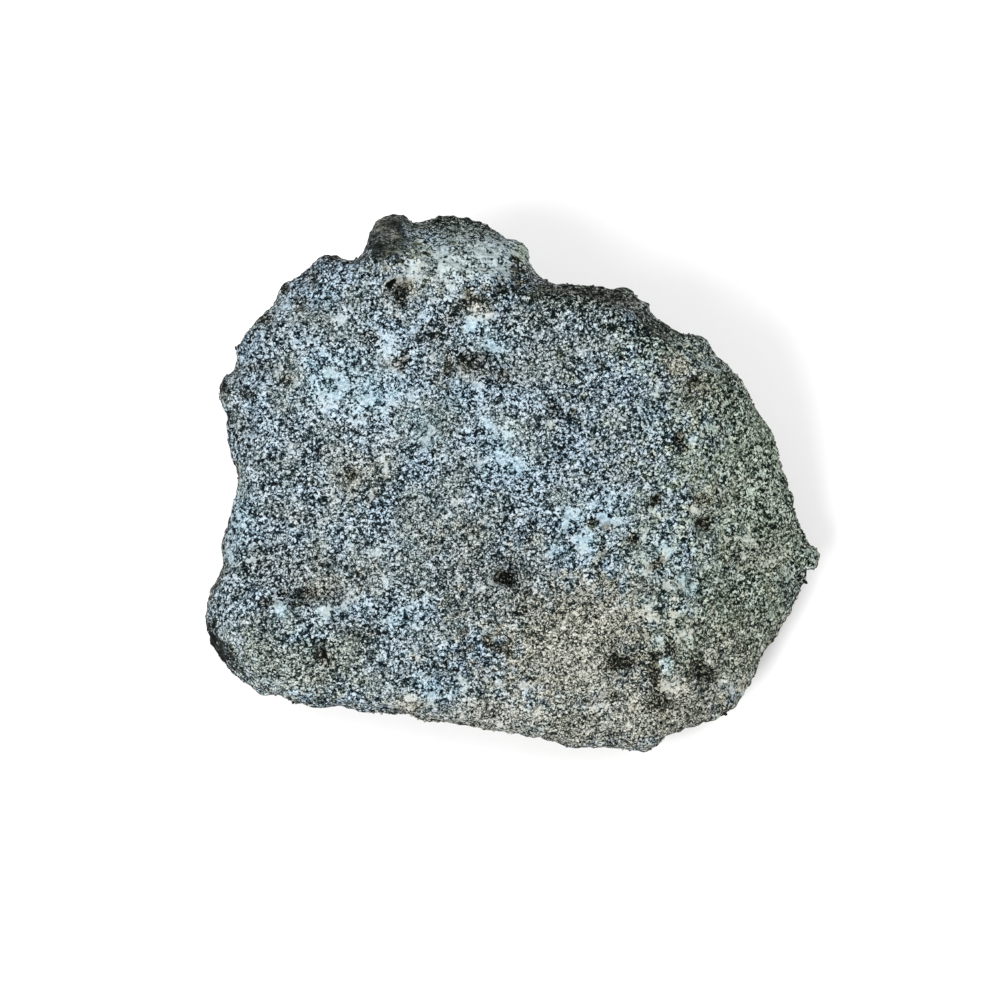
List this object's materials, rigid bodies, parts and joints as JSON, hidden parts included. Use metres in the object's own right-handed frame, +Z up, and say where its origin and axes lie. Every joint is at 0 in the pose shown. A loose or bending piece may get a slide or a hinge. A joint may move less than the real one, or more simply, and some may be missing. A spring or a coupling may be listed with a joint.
{
  "type": "rough turquoise",
  "caption": "Broken lump of grainy turquoise rock with a broad speckled face, a dark nodule and a pale boss on its rim, and a small flat spot to rest on.",
  "frame": {"origin": "centre of the stone's bounding box in plan, on the surface that it rests on", "axes": "+X along the stone's length, to the right when looking at the broad face; +Y towards its thick end, where the dark nodule is; +Z up"},
  "size_m": [0.1032, 0.0904, 0.0517],
  "materials": {
    "speckled_rock": "matte"
  },
  "bodies": {
    "root": {"rough_turquoise": "speckled_rock"}
  },
  "joints": []
}
